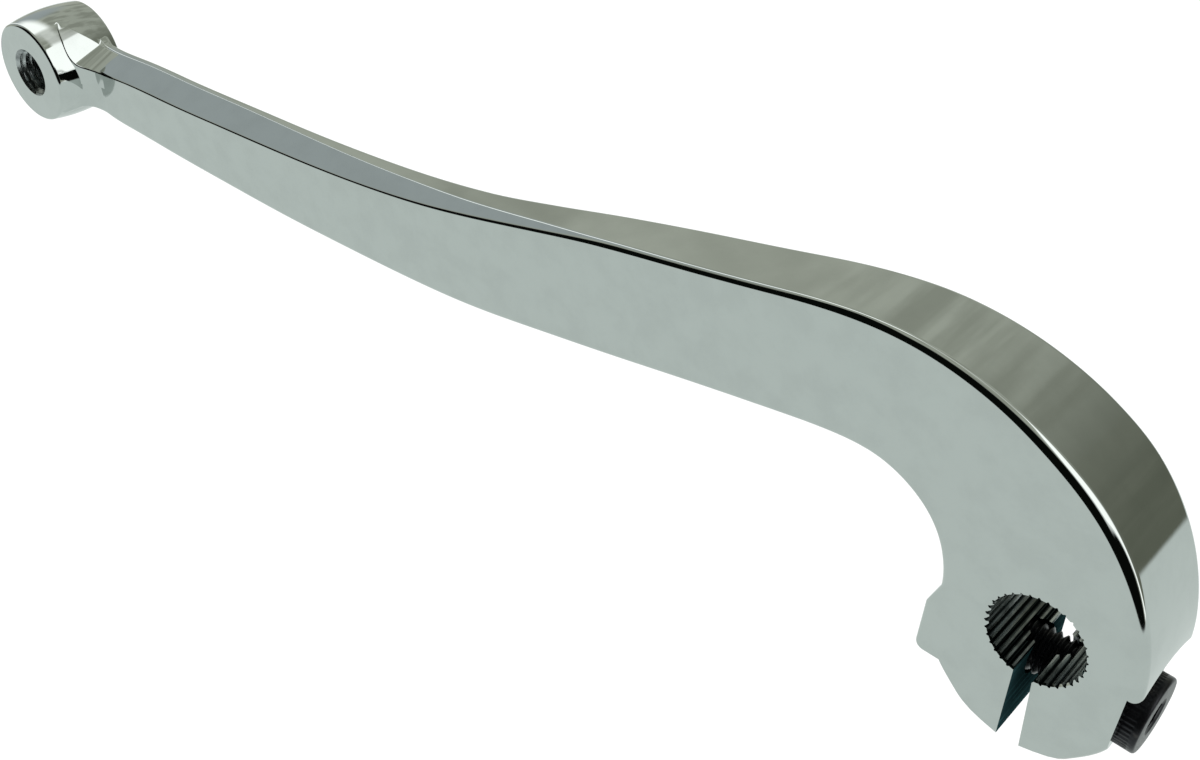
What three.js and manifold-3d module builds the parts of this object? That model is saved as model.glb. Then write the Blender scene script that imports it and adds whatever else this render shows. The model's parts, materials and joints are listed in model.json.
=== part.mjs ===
// Chrome-plated foot lever: one forged arm with a splined split clamp at one end and a threaded
// cross barrel at the other, and the pinch bolt and lock washer that close the clamp.
// Millimetres. The origin is the middle of the splined bore, whose axis is Y. -Y is the show face,
// the arm runs towards -X, and +Z is the side that the arm humps up to.
import * as THREE from 'three';
import * as BufferGeometryUtils from 'three/addons/utils/BufferGeometryUtils.js';
import Module from 'manifold-3d';

// ---- driving dimensions ----
const REACH = 239;              // from the bore's axis to the barrel's axis
const HUB_DEPTH = 18;           // show face to back face at the clamp
const SLIM_DEPTH = 7.4;         // thickness of the slim end of the arm
const FRONT = -HUB_DEPTH / 2;   // y of the show face
const BACK = HUB_DEPTH / 2;     // y of the clamp's back face

const SPLINE_TEETH = 36;
const SPLINE_ROOT_RADIUS = 8.3;
const SPLINE_TIP_RADIUS = 7.7;
const BORE_CHAMFER = 0.5;       // takes the tips of the teeth back at each mouth

const BARREL_RADIUS = 10.8;
const BARREL_CROWN = 0.75;      // how much the barrel swells half way along
const BARREL_LENGTH = 16;
const BARREL_FRONT = FRONT - 7; // y of the barrel's front face
const BARREL_BACK = BARREL_FRONT + BARREL_LENGTH;
const BARREL_EDGE = 0.6;
const EYE_MAJOR_RADIUS = 5;     // M10 x 1.5 thread for the pedal or peg
const EYE_MINOR_RADIUS = 4.2;
const EYE_PITCH = 1.5;
const EYE_MOUTH = 1;            // lead-in chamfer at each mouth, from the thread's inner radius

const SLIT = { topZ: -6, footZ: -24, topLeft: -1.75, topRight: 1.3, footLeft: -1.1, footRight: 2.9 };

const BOLT_Y = 0.5;             // the pinch bolt crosses just behind mid depth
const BOLT_Z = -11;
const BOLT_HOLE_RADIUS = 4.4;
const FLAT_X = 14.8;            // milled flat on the jaw's side
const FLAT_TOP_Z = 1.2;
const FLAT_CUTTER_RADIUS = 20;
const SEAT_X = 10.5;            // floor of the counterbore that the washer bears on
const SEAT_RADIUS = 7.4;
const LOBE_END_X = -17.7;       // faced end of the threaded lobe
const LOBE_TOP_Z = -4.9;
const LOBE_FOOT_Z = -15.2;
const LOBE_ROOT = { x: -15.7, z: 0.6 };  // where its slope leaves the arm's inner edge
const LOBE_BURIED_X = -10;
const LOBE_CORNER = 1.6;
const LOBE_EDGE = 0.6;

const BOLT_MAJOR_RADIUS = 3.98; // M8 x 1.25, low socket head
const BOLT_MINOR_RADIUS = 3.3;
const BOLT_PITCH = 1.25;
const BOLT_LENGTH = 30;
const BOLT_PLAIN_SHANK = 8;
const HEAD_RADIUS = 6.5;
const HEAD_HEIGHT = 5;
const HEAD_EDGE = 0.5;
const SOCKET_ACROSS_FLATS = 5;
const SOCKET_DEPTH = 3;
const WASHER_THICKNESS = 1.6;
const WASHER_OUTER_RADIUS = 6.4;
const WASHER_INNER_RADIUS = 4.2;
const WASHER_GAP = 1.2;         // width of the split
const WASHER_RISE = 0.5;        // how far one lip of the split stands above the other
const CLEARANCE = 0.3;          // left between pieces that touch

// ---- the arm's stations, from the barrel to the foot of the clamp ----
// Each row joins a point on the lower (inner) edge to one on the upper (outer) edge:
// lower x, lower z, upper x, upper z, front y, back y, drop, run, round.
// The shoulder is a facet that takes `drop` off the upper edge at the show face and runs `run`
// deep, with both its edges rounded to `round`. It grows from a rounded edge at the clamp to a
// broad facet at the slim end, and close to the barrel the show face sweeps forward.
const SLIM_BACK = FRONT + SLIM_DEPTH;
const SWEEP = BARREL_FRONT - FRONT;
const stations = [
  [-234.0, -5.9, -234.0, 6.4, BARREL_FRONT, SLIM_BACK, 3.8, 12.6, 0.8],
  [-230.4, -5.9, -230.4, 6.1, BARREL_FRONT, SLIM_BACK, 3.8, 12.6, 0.8],
  [-229.6, -5.8, -229.6, 5.9, FRONT + 0.72 * SWEEP, SLIM_BACK, 3.6, 10.6, 0.8],
  [-228.2, -5.8, -228.2, 5.8, FRONT + 0.38 * SWEEP, SLIM_BACK, 3.2, 8.3, 0.8],
  [-226.0, -6.1, -226.0, 5.8, FRONT + 0.11 * SWEEP, SLIM_BACK, 2.7, 6.4, 0.8],
  [-223.0, -6.6, -223.0, 6.0, FRONT, SLIM_BACK, 2.4, 5.6, 0.8],
  [-214.0, -6.8, -214.0, 7.1, FRONT, SLIM_BACK, 2.4, 5.6, 0.8],
  [-200.0, -6.6, -199.0, 8.4, FRONT, SLIM_BACK, 2.4, 5.6, 0.8],
  [-183.0, -6.1, -182.0, 10.2, FRONT, SLIM_BACK, 2.4, 5.4, 0.8],
  [-166.0, -5.4, -165.0, 12.0, FRONT, SLIM_BACK, 2.3, 5.0, 0.8],
  [-149.0, -4.2, -148.0, 14.2, FRONT, SLIM_BACK, 2.2, 4.3, 0.8],
  [-132.0, -2.7, -131.0, 17.0, FRONT, SLIM_BACK, 1.9, 3.6, 0.8],
  [-115.0, -0.5, -116.0, 20.3, FRONT, SLIM_BACK, 1.4, 2.6, 0.9],
  [-98.0, 3.0, -101.0, 24.3, FRONT, FRONT + 8.2, 1.0, 1.6, 1.0],
  [-82.0, 6.6, -86.0, 28.2, FRONT, FRONT + 9.8, 0.7, 0.8, 1.1],
  [-66.0, 10.4, -70.0, 31.9, FRONT, FRONT + 11.6, 0.65, 0.65, 1.1],
  [-51.0, 13.8, -54.0, 35.8, FRONT, FRONT + 12.8, 0.65, 0.65, 1.1],
  [-39.0, 16.2, -40.0, 38.9, FRONT, FRONT + 13.8, 0.7, 0.7, 1.2],
  [-32.0, 16.6, -28.0, 39.6, FRONT, FRONT + 15.0, 0.75, 0.75, 1.3],
  [-26.5, 15.2, -15.6, 37.3, FRONT, FRONT + 16.4, 0.8, 0.8, 1.4],
  [-22.0, 12.4, -5.3, 32.9, FRONT, FRONT + 17.5, 0.95, 0.95, 1.6],
  [-18.8, 8.6, 3.6, 26.9, FRONT, BACK, 1.05, 1.05, 1.8],
  [-17.0, 4.4, 10.4, 18.7, FRONT, BACK, 1.1, 1.1, 1.9],
  [-16.2, 0.0, 14.8, 9.0, FRONT, BACK, 1.05, 1.05, 1.8],
  [-16.2, -5.0, 16.6, 0.0, FRONT, BACK, 0.9, 0.9, 1.6],
  [-15.6, -10.4, 16.2, -7.5, FRONT, BACK, 0.7, 0.7, 1.2],
  [-13.5, -15.2, 14.0, -14.4, FRONT, BACK, 0.6, 0.6, 1.0],
  [-9.9, -18.9, 10.6, -18.8, FRONT, BACK, 0.6, 0.6, 1.0],
  [-5.5, -21.5, 6.8, -21.2, FRONT, BACK, 0.6, 0.6, 1.0],
  [-1.6, -22.5, 2.8, -22.4, FRONT, BACK, 0.6, 0.6, 1.0],
].map(([lowerX, lowerZ, upperX, upperZ, front, back, drop, run, round]) => ({
  lower: [lowerX, lowerZ],
  upper: [upperX, upperZ],
  front,
  back,
  drop,
  run,
  round,
}));
// Beside the barrel the shoulder climbs the barrel's side and leaves a pocket under the front rim:
// x, front edge y and z, back edge y and z.
const GUSSET_FOOT_Z = 0;
const gussetRows = [
  [-235.6, -10.0, 10.9, -9.4, 11.0],
  [-233.6, -10.9, 10.3, -8.7, 10.5],
  [-231.5, -11.7, 8.9, -7.5, 9.5],
  [-229.6, -12.1, 6.7, -5.8, 8.0],
  [-228.0, -11.5, 4.6, -4.6, 6.8],
  [-226.2, -10.0, 3.6, -4.0, 6.25],
  [-224.2, -9.3, 3.4, -3.6, 6.0],
  [-221.0, -8.9, 3.4, -3.4, 5.9],
];
const RINGS_PER_STATION = 2;
const EDGE_RADIUS = 1;          // lower edges and the back upper edge
const CORNER_STEPS = 2;

// ---- helpers ----
const wasm = await Module();
wasm.setup();

function toSolid(geometry) {
  const bare = geometry.index ? geometry.toNonIndexed() : geometry.clone();
  bare.deleteAttribute('normal');
  bare.deleteAttribute('uv');
  const merged = BufferGeometryUtils.mergeVertices(bare, 1e-4);
  const mesh = new wasm.Mesh({
    numProp: 3,
    vertProperties: new Float32Array(merged.attributes.position.array),
    triVerts: new Uint32Array(merged.index.array),
  });
  return new wasm.Manifold(mesh);
}

function toGeometry(solid) {
  const mesh = solid.getMesh();
  const geometry = new THREE.BufferGeometry();
  geometry.setAttribute('position', new THREE.BufferAttribute(mesh.vertProperties, 3));
  geometry.setIndex(new THREE.BufferAttribute(mesh.triVerts, 1));
  geometry.computeVertexNormals();
  return geometry;
}

// A smooth curve through b and c at t = 0 and 1, with a and d as the neighbours beyond them.
function blend(a, b, c, d, t) {
  const bend = 2 * a - 5 * b + 4 * c - d;
  const twist = 3 * b - a - 3 * c + d;
  return 0.5 * (2 * b + (c - a) * t + bend * t * t + twist * t * t * t);
}

function stationAt(u) {
  const last = stations.length - 1;
  const i = Math.min(Math.floor(u), last - 1);
  const t = u - i;
  const near = [i - 1, i, i + 1, i + 2].map((k) => stations[Math.max(0, Math.min(last, k))]);
  const mix = (pick) => blend(...near.map(pick), t);
  return {
    lower: [mix((s) => s.lower[0]), mix((s) => s.lower[1])],
    upper: [mix((s) => s.upper[0]), mix((s) => s.upper[1])],
    front: Math.max(mix((s) => s.front), BARREL_FRONT),
    back: Math.min(mix((s) => s.back), BACK),
    drop: mix((s) => s.drop),
    run: mix((s) => s.run),
    round: mix((s) => s.round),
  };
}

const HALF_SIDE = 0.499;        // a corner's arc takes just under half of either side it joins

// A closed polygon with each corner replaced by an arc; corners are [across, y].
function roundCorners(corners, radii, steps) {
  const ring = [];
  corners.forEach((corner, i) => {
    const before = new THREE.Vector2(...corners[(i + corners.length - 1) % corners.length]);
    const after = new THREE.Vector2(...corners[(i + 1) % corners.length]);
    const at = new THREE.Vector2(...corner);
    const back = before.clone().sub(at);
    const ahead = after.clone().sub(at);
    const half = back.angleTo(ahead) / 2;
    const reach = Math.min(radii[i] / Math.tan(half), HALF_SIDE * back.length(), HALF_SIDE * ahead.length());
    const start = at.clone().addScaledVector(back.normalize(), reach);
    const end = at.clone().addScaledVector(ahead.normalize(), reach);
    const weight = Math.sin(half);
    for (let k = 0; k <= steps; k += 1) {
      const t = k / steps;
      const a = (1 - t) * (1 - t);
      const b = 2 * t * (1 - t) * weight;
      const c = t * t;
      ring.push([
        (a * start.x + b * at.x + c * end.x) / (a + b + c),
        (a * start.y + b * at.y + c * end.y) / (a + b + c),
      ]);
    }
  });
  return ring;
}

function armRing(u) {
  const s = stationAt(u);
  const along = new THREE.Vector2(s.upper[0] - s.lower[0], s.upper[1] - s.lower[1]);
  const height = along.length();
  along.normalize();
  const corners = [
    [0, s.front],
    [height - s.drop, s.front],
    [height, s.front + s.run],
    [height, s.back],
    [0, s.back],
  ];
  const radii = [EDGE_RADIUS, s.round, s.round, EDGE_RADIUS, EDGE_RADIUS];
  return roundCorners(corners, radii, CORNER_STEPS).map(([across, y]) => [
    s.lower[0] + along.x * across,
    y,
    s.lower[1] + along.y * across,
  ]);
}

// Closes a stack of rings, each with the same number of points, into a solid with flat ends.
function loft(rings) {
  const size = rings[0].length;
  const positions = rings.flat(2);
  const faces = [];
  for (let r = 0; r + 1 < rings.length; r += 1) {
    for (let k = 0; k < size; k += 1) {
      const a = r * size + k;
      const b = r * size + ((k + 1) % size);
      faces.push(a, a + size, b, b, a + size, b + size);
    }
  }
  const lastStart = (rings.length - 1) * size;
  for (let k = 1; k + 1 < size; k += 1) {
    faces.push(0, k, k + 1);
    faces.push(lastStart, lastStart + k + 1, lastStart + k);
  }
  const geometry = new THREE.BufferGeometry();
  geometry.setAttribute('position', new THREE.BufferAttribute(new Float32Array(positions), 3));
  geometry.setIndex(faces);
  return geometry;
}

// A prism along Y from an outline in x and z.
function prismY(outline, y0, y1) {
  const shape = new THREE.Shape(outline.map(([x, z]) => new THREE.Vector2(x, z)));
  const geometry = new THREE.ExtrudeGeometry(shape, { depth: y1 - y0, bevelEnabled: false });
  geometry.rotateX(Math.PI / 2);
  geometry.translate(0, y1, 0);
  return toSolid(geometry);
}

// A turned piece about Y from a profile of [radius, y] that starts and ends on the axis.
function turnedY(profile, segments) {
  const points = profile.map(([radius, y]) => new THREE.Vector2(radius, y));
  return toSolid(new THREE.LatheGeometry(points, segments));
}

function cylinderX(radius, x0, x1, segments) {
  const geometry = new THREE.CylinderGeometry(radius, radius, x1 - x0, segments);
  geometry.rotateZ(-Math.PI / 2);
  geometry.translate((x0 + x1) / 2, 0, 0);
  return toSolid(geometry);
}

// A cylinder along Y whose surface carries a right-hand helical thread between two radii.
function threadedRod({ minor, major, pitch, length, around, stepsPerPitch }) {
  const rows = Math.round((length / pitch) * stepsPerPitch);
  const rings = [];
  for (let r = 0; r <= rows; r += 1) {
    const y = (r / rows) * length;
    const ring = [];
    for (let k = 0; k < around; k += 1) {
      const turn = k / around;
      const phase = y / pitch + turn;
      const crest = 1 - Math.abs(2 * (phase - Math.floor(phase)) - 1);
      const radius = minor + (major - minor) * crest;
      ring.push([radius * Math.cos(2 * Math.PI * turn), y, radius * Math.sin(2 * Math.PI * turn)]);
    }
    rings.push(ring);
  }
  return toSolid(loft(rings));
}

// ---- lever arm ----
function armBody() {
  const rings = [];
  const steps = (stations.length - 1) * RINGS_PER_STATION;
  for (let k = 0; k <= steps; k += 1) {
    rings.push(armRing(k / RINGS_PER_STATION));
  }
  return toSolid(loft(rings));
}

function gusset() {
  const rings = gussetRows.map(([x, frontY, frontZ, backY, backZ]) => [
    [x, frontY, GUSSET_FOOT_Z],
    [x, frontY, frontZ],
    [x, backY, backZ],
    [x, backY, GUSSET_FOOT_Z],
  ]);
  return toSolid(loft(rings));
}

function barrel() {
  const middle = (BARREL_FRONT + BARREL_BACK) / 2;
  const flank = BARREL_LENGTH / 2 - BARREL_EDGE;
  const profile = [[0, BARREL_FRONT], [BARREL_RADIUS - BARREL_EDGE, BARREL_FRONT]];
  for (let k = 1; k <= 3; k += 1) {
    const angle = (k / 3) * (Math.PI / 2);
    profile.push([
      BARREL_RADIUS - BARREL_EDGE * (1 - Math.sin(angle)),
      BARREL_FRONT + BARREL_EDGE * (1 - Math.cos(angle)),
    ]);
  }
  for (let k = 1; k <= 5; k += 1) {
    const at = -1 + (2 * k) / 6;
    profile.push([BARREL_RADIUS + BARREL_CROWN * (1 - at * at), middle + flank * at]);
  }
  for (let k = 3; k >= 1; k -= 1) {
    const angle = (k / 3) * (Math.PI / 2);
    profile.push([
      BARREL_RADIUS - BARREL_EDGE * (1 - Math.sin(angle)),
      BARREL_BACK - BARREL_EDGE * (1 - Math.cos(angle)),
    ]);
  }
  profile.push([BARREL_RADIUS - BARREL_EDGE, BARREL_BACK], [0, BARREL_BACK]);
  return turnedY(profile, 48).translate(-REACH, 0, 0);
}

// The lobe that gives the bolt's thread its length, on the arm's side of the clamp.
function threadLobe() {
  const shape = new THREE.Shape();
  shape.moveTo(LOBE_BURIED_X, LOBE_ROOT.z);
  shape.lineTo(LOBE_ROOT.x, LOBE_ROOT.z);
  shape.lineTo(LOBE_END_X, LOBE_TOP_Z);
  shape.lineTo(LOBE_END_X, LOBE_FOOT_Z + LOBE_CORNER);
  const cornerX = LOBE_END_X + LOBE_CORNER;
  const cornerZ = LOBE_FOOT_Z + LOBE_CORNER;
  shape.absarc(cornerX, cornerZ, LOBE_CORNER, Math.PI, 1.5 * Math.PI, false);
  shape.lineTo(LOBE_BURIED_X, LOBE_FOOT_Z);
  const geometry = new THREE.ExtrudeGeometry(shape, {
    depth: HUB_DEPTH - 2 * LOBE_EDGE,
    bevelEnabled: true,
    bevelSize: LOBE_EDGE,
    bevelThickness: LOBE_EDGE,
    bevelOffset: -LOBE_EDGE,
    bevelSegments: 2,
    curveSegments: 4,
  });
  geometry.rotateX(Math.PI / 2);
  geometry.translate(0, BACK - LOBE_EDGE, 0);
  return toSolid(geometry);
}

function onCircle(radius, angle) {
  return [radius * Math.cos(angle), radius * Math.sin(angle)];
}

function splinedBore() {
  const outline = [];
  for (let k = 0; k < SPLINE_TEETH; k += 1) {
    const step = (2 * Math.PI) / SPLINE_TEETH;
    const root = (k + 0.5) * step;
    const land = 0.12 * step;
    outline.push(onCircle(SPLINE_TIP_RADIUS, k * step - land));
    outline.push(onCircle(SPLINE_TIP_RADIUS, k * step + land));
    outline.push(onCircle(SPLINE_ROOT_RADIUS, root));
  }
  return prismY(outline, FRONT - 1, BACK + 1);
}

function slit() {
  const { topZ, footZ, topLeft, topRight, footLeft, footRight } = SLIT;
  const outline = [[topLeft, topZ], [footLeft, footZ], [footRight, footZ], [topRight, topZ]];
  return prismY(outline, FRONT - 1, BACK + 1);
}

function eyeThread() {
  const length = BARREL_LENGTH + 2;
  const rod = threadedRod({
    minor: EYE_MINOR_RADIUS,
    major: EYE_MAJOR_RADIUS,
    pitch: EYE_PITCH,
    length,
    around: 20,
    stepsPerPitch: 3,
  });
  return rod.translate(-REACH, BARREL_FRONT - 1, 0);
}

// A cone that breaks the edge of a hole of the given radius at the face at y.
function mouthCone(radius, depth, x, y, outwards) {
  const wide = radius + depth + 1;
  const profile = outwards < 0
    ? [[0, y - 1], [wide, y - 1], [0, y - 1 + wide]]
    : [[0, y + 1 - wide], [wide, y + 1], [0, y + 1]];
  return turnedY(profile, 40).translate(x, 0, 0);
}

function leverArm() {
  const bolt = (solid) => solid.translate(0, BOLT_Y, BOLT_Z);
  const flatCutter = cylinderX(FLAT_CUTTER_RADIUS, FLAT_X, FLAT_X + 6, 96)
    .translate(0, 0, FLAT_TOP_Z - FLAT_CUTTER_RADIUS);
  return armBody()
    .add(barrel())
    .add(gusset())
    .add(threadLobe())
    .subtract(splinedBore())
    .subtract(mouthCone(SPLINE_TIP_RADIUS, BORE_CHAMFER, 0, FRONT, -1))
    .subtract(mouthCone(SPLINE_TIP_RADIUS, BORE_CHAMFER, 0, BACK, 1))
    .subtract(slit())
    .subtract(bolt(cylinderX(BOLT_HOLE_RADIUS, LOBE_END_X - 3, FLAT_X + 3, 32)))
    .subtract(bolt(cylinderX(SEAT_RADIUS, SEAT_X, FLAT_X + 3, 40)))
    .subtract(flatCutter)
    .subtract(eyeThread())
    .subtract(mouthCone(EYE_MINOR_RADIUS, EYE_MOUTH, -REACH, BARREL_FRONT, -1))
    .subtract(mouthCone(EYE_MINOR_RADIUS, EYE_MOUTH, -REACH, BARREL_BACK, 1));
}

// ---- pinch bolt and its washer, both modelled with the clamp closed ----
const WASHER_BASE_X = SEAT_X + CLEARANCE;
const HEAD_BASE_X = WASHER_BASE_X + WASHER_THICKNESS + CLEARANCE;

function pinchBolt() {
  const head = turnedY([
    [0, 0],
    [HEAD_RADIUS - HEAD_EDGE, 0],
    [HEAD_RADIUS, HEAD_EDGE],
    [HEAD_RADIUS, HEAD_HEIGHT - HEAD_EDGE],
    [HEAD_RADIUS - HEAD_EDGE, HEAD_HEIGHT],
    [0, HEAD_HEIGHT],
  ], 40);
  const shank = turnedY([
    [0, -BOLT_PLAIN_SHANK],
    [BOLT_MAJOR_RADIUS, -BOLT_PLAIN_SHANK],
    [BOLT_MAJOR_RADIUS, 1],
    [0, 1],
  ], 24);
  const thread = threadedRod({
    minor: BOLT_MINOR_RADIUS,
    major: BOLT_MAJOR_RADIUS,
    pitch: BOLT_PITCH,
    length: BOLT_LENGTH - BOLT_PLAIN_SHANK + 1,
    around: 16,
    stepsPerPitch: 2,
  }).translate(0, -BOLT_LENGTH, 0);
  const hexagon = [];
  for (let k = 0; k < 6; k += 1) {
    hexagon.push(onCircle(SOCKET_ACROSS_FLATS / Math.sqrt(3), (k / 6) * 2 * Math.PI));
  }
  const socket = prismY(hexagon, HEAD_HEIGHT - SOCKET_DEPTH, HEAD_HEIGHT + 1);
  return head
    .add(shank)
    .add(thread)
    .subtract(socket)
    .rotate(0, 0, -90)
    .translate(HEAD_BASE_X, BOLT_Y, BOLT_Z);
}

// A split spring washer: one turn of square wire with its lips sprung apart.
function lockWasher() {
  const middle = (WASHER_OUTER_RADIUS + WASHER_INNER_RADIUS) / 2;
  const half = (WASHER_OUTER_RADIUS - WASHER_INNER_RADIUS) / 2;
  const openAngle = WASHER_GAP / middle;
  const wire = WASHER_THICKNESS - WASHER_RISE;
  const steps = 36;
  const rings = [];
  for (let k = 0; k <= steps; k += 1) {
    const t = k / steps;
    const angle = openAngle / 2 + t * (2 * Math.PI - openAngle);
    const y0 = t * WASHER_RISE;
    rings.push([
      [middle - half, y0],
      [middle - half, y0 + wire],
      [middle + half, y0 + wire],
      [middle + half, y0],
    ].map(([radius, y]) => [radius * Math.cos(angle), y, radius * Math.sin(angle)]));
  }
  return toSolid(loft(rings)).rotate(0, 0, -90).translate(WASHER_BASE_X, BOLT_Y, BOLT_Z);
}

// ---- scene graph ----
function finish(name, color, roughness, metalness) {
  return new THREE.MeshStandardMaterial({ name, color, roughness, metalness });
}

const chrome = finish('chrome_plate', 0xc9cfcd, 0.06, 1);
const blackOxide = finish('black_oxide', 0x26282a, 0.4, 0.8);
const springSteel = finish('zinc_spring_steel', 0x9a9c9c, 0.35, 1);

function named(name, solid, material) {
  const mesh = new THREE.Mesh(toGeometry(solid), material);
  mesh.name = name;
  return mesh;
}

const lever = new THREE.Group();
lever.name = 'clamp_lever';
lever.add(named('lever_arm', leverArm(), chrome));
lever.add(named('pinch_bolt', pinchBolt(), blackOxide));
lever.add(named('lock_washer', lockWasher(), springSteel));

export default lever;
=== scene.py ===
"""Chrome-plated foot lever with a splined split clamp: the looks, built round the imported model."""
import json
import math

import bmesh
import bpy
import numpy as np
from mathutils import Matrix, Vector


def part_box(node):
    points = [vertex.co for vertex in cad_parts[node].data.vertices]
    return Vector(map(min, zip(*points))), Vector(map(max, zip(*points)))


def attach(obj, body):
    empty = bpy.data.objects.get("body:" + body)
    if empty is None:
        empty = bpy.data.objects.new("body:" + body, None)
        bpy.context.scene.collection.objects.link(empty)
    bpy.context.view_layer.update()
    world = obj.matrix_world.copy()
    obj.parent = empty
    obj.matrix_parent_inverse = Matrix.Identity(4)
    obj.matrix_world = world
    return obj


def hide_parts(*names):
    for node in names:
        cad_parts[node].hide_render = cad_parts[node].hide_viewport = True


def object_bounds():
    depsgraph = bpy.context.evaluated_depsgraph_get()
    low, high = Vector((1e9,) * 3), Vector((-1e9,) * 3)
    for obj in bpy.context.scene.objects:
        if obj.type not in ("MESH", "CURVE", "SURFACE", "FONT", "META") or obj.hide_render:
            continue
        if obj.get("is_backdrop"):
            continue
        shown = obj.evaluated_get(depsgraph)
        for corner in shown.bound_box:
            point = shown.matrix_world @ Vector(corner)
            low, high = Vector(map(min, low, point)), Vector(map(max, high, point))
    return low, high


bl_info = {
    "name": "Splined Clamp Foot Lever",
    "version": (1, 0, 0),
    "blender": (4, 5, 0),
    "location": "3D View > Sidebar > Foot Lever",
    "description": "Builds a chrome foot lever, its pinch bolt, its lock washer and a studio round them",
    "category": "Add Mesh",
}

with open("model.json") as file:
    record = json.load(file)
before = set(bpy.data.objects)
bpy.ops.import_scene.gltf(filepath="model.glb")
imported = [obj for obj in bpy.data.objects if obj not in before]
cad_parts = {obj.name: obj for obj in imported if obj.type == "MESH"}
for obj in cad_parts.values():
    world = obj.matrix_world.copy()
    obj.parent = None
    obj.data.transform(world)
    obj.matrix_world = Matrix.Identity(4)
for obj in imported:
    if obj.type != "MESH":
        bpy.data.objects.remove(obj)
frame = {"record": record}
CAD_LOW, CAD_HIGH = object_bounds()
RECORD = frame["record"]
MM = 0.001


def mount_point(name):
    """Where the record puts a mount, in metres."""
    return Vector(next(m["pos_m"] for m in RECORD["mounts"] if m["name"] == name))


BORE = mount_point("splined_clamp")
EYE_FRONT = mount_point("barrel_front_face")
EYE_BACK = mount_point("barrel_back_face")
CLAMP_FRONT = mount_point("clamp_front_face")
CLAMP_BACK = mount_point("clamp_back_face")
BOLT_AXIS = Vector(next(j["pos_m"] for j in RECORD["behaviour"]["joints"] if "pos_m" in j))
BOLT_LOW, BOLT_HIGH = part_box("pinch_bolt")
WASHER_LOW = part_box("lock_washer")[0]

# The arm's stations from the barrel to the foot of the clamp, in millimetres from the bore's axis:
# lower edge x and z, upper edge x and z, sweep, depth, and the shoulder's drop, run and rounding.
# The sweep is 0 where the show face is level with the clamp's and 1 where it has come forward to
# the barrel's front face. The depth runs back from the clamp's show face.
STATIONS = (
    (-234.0, -5.9, -234.0, 6.4, 1.00, 7.4, 3.8, 12.6, 0.8),
    (-230.4, -5.9, -230.4, 6.1, 1.00, 7.4, 3.8, 12.6, 0.8),
    (-229.6, -5.8, -229.6, 5.9, 0.72, 7.4, 3.6, 10.6, 0.8),
    (-228.2, -5.8, -228.2, 5.8, 0.38, 7.4, 3.2, 8.3, 0.8),
    (-226.0, -6.1, -226.0, 5.8, 0.11, 7.4, 2.7, 6.4, 0.8),
    (-223.0, -6.6, -223.0, 6.0, 0.00, 7.4, 2.4, 5.6, 0.8),
    (-214.0, -6.8, -214.0, 7.1, 0.00, 7.4, 2.4, 5.6, 0.5),
    (-200.0, -6.6, -199.0, 8.4, 0.00, 7.4, 2.4, 5.6, 0.5),
    (-183.0, -6.1, -182.0, 10.2, 0.00, 7.4, 2.4, 5.4, 0.5),
    (-166.0, -5.4, -165.0, 12.0, 0.00, 7.4, 2.3, 5.0, 0.5),
    (-149.0, -4.2, -148.0, 14.2, 0.00, 7.4, 2.2, 4.3, 0.5),
    (-132.0, -2.7, -131.0, 17.0, 0.00, 7.4, 1.9, 3.6, 0.65),
    (-115.0, -0.5, -116.0, 20.3, 0.00, 7.4, 1.4, 2.6, 0.9),
    (-98.0, 3.0, -101.0, 24.3, 0.00, 8.2, 1.0, 1.6, 1.0),
    (-82.0, 6.6, -86.0, 28.2, 0.00, 9.8, 0.7, 0.8, 1.1),
    (-66.0, 10.4, -70.0, 31.9, 0.00, 11.6, 0.65, 0.65, 1.1),
    (-51.0, 13.8, -54.0, 35.8, 0.00, 12.8, 0.65, 0.65, 1.1),
    (-39.0, 16.2, -40.0, 38.9, 0.00, 13.8, 0.7, 0.7, 1.2),
    (-32.0, 16.6, -28.0, 39.6, 0.00, 15.0, 0.75, 0.75, 1.3),
    (-26.5, 15.2, -15.6, 37.3, 0.00, 16.4, 0.8, 0.8, 1.4),
    (-22.0, 12.4, -5.3, 32.9, 0.00, 17.5, 0.95, 0.95, 1.6),
    (-18.8, 8.6, 3.6, 26.9, 0.00, 18.0, 1.05, 1.05, 1.8),
    (-17.0, 4.4, 10.4, 18.7, 0.00, 18.0, 1.1, 1.1, 1.9),
    (-16.2, 0.0, 14.8, 9.0, 0.00, 18.0, 1.05, 1.05, 1.8),
    (-16.2, -5.0, 16.6, 0.0, 0.00, 18.0, 0.9, 0.9, 1.6),
    (-15.6, -10.4, 16.2, -7.5, 0.00, 18.0, 0.7, 0.7, 1.2),
    (-13.5, -15.2, 14.0, -14.4, 0.00, 18.0, 0.6, 0.6, 1.0),
    (-9.9, -18.9, 10.6, -18.8, 0.00, 18.0, 0.6, 0.6, 1.0),
    (-5.5, -21.5, 6.8, -21.2, 0.00, 18.0, 0.6, 0.6, 1.0),
    (-1.6, -22.5, 2.8, -22.4, 0.00, 18.0, 0.6, 0.6, 1.0),
)
# Beside the barrel the shoulder climbs the barrel's side and leaves a pocket under the front rim:
# x, front edge y and z, back edge y and z, in millimetres from the bore's middle.
GUSSET_ROWS = (
    (-235.6, -10.0, 10.9, -9.4, 11.0),
    (-233.6, -10.9, 10.3, -8.7, 10.5),
    (-231.5, -11.7, 8.9, -7.5, 9.5),
    (-229.6, -12.1, 6.7, -5.8, 8.0),
    (-228.0, -11.5, 4.6, -4.6, 6.8),
    (-226.2, -10.0, 3.6, -4.0, 6.25),
    (-224.2, -9.3, 3.4, -3.6, 6.0),
    (-221.0, -8.9, 3.4, -3.4, 5.9),
)
SLIT_OUTLINE = ((-1.75, -6.0), (-1.1, -24.0), (2.9, -24.0), (1.3, -6.0))
LOBE_OUTLINE = ((-10.0, 0.6), (-15.7, 0.6), (-17.7, -4.9), (-17.7, -15.2), (-10.0, -15.2))


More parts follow.
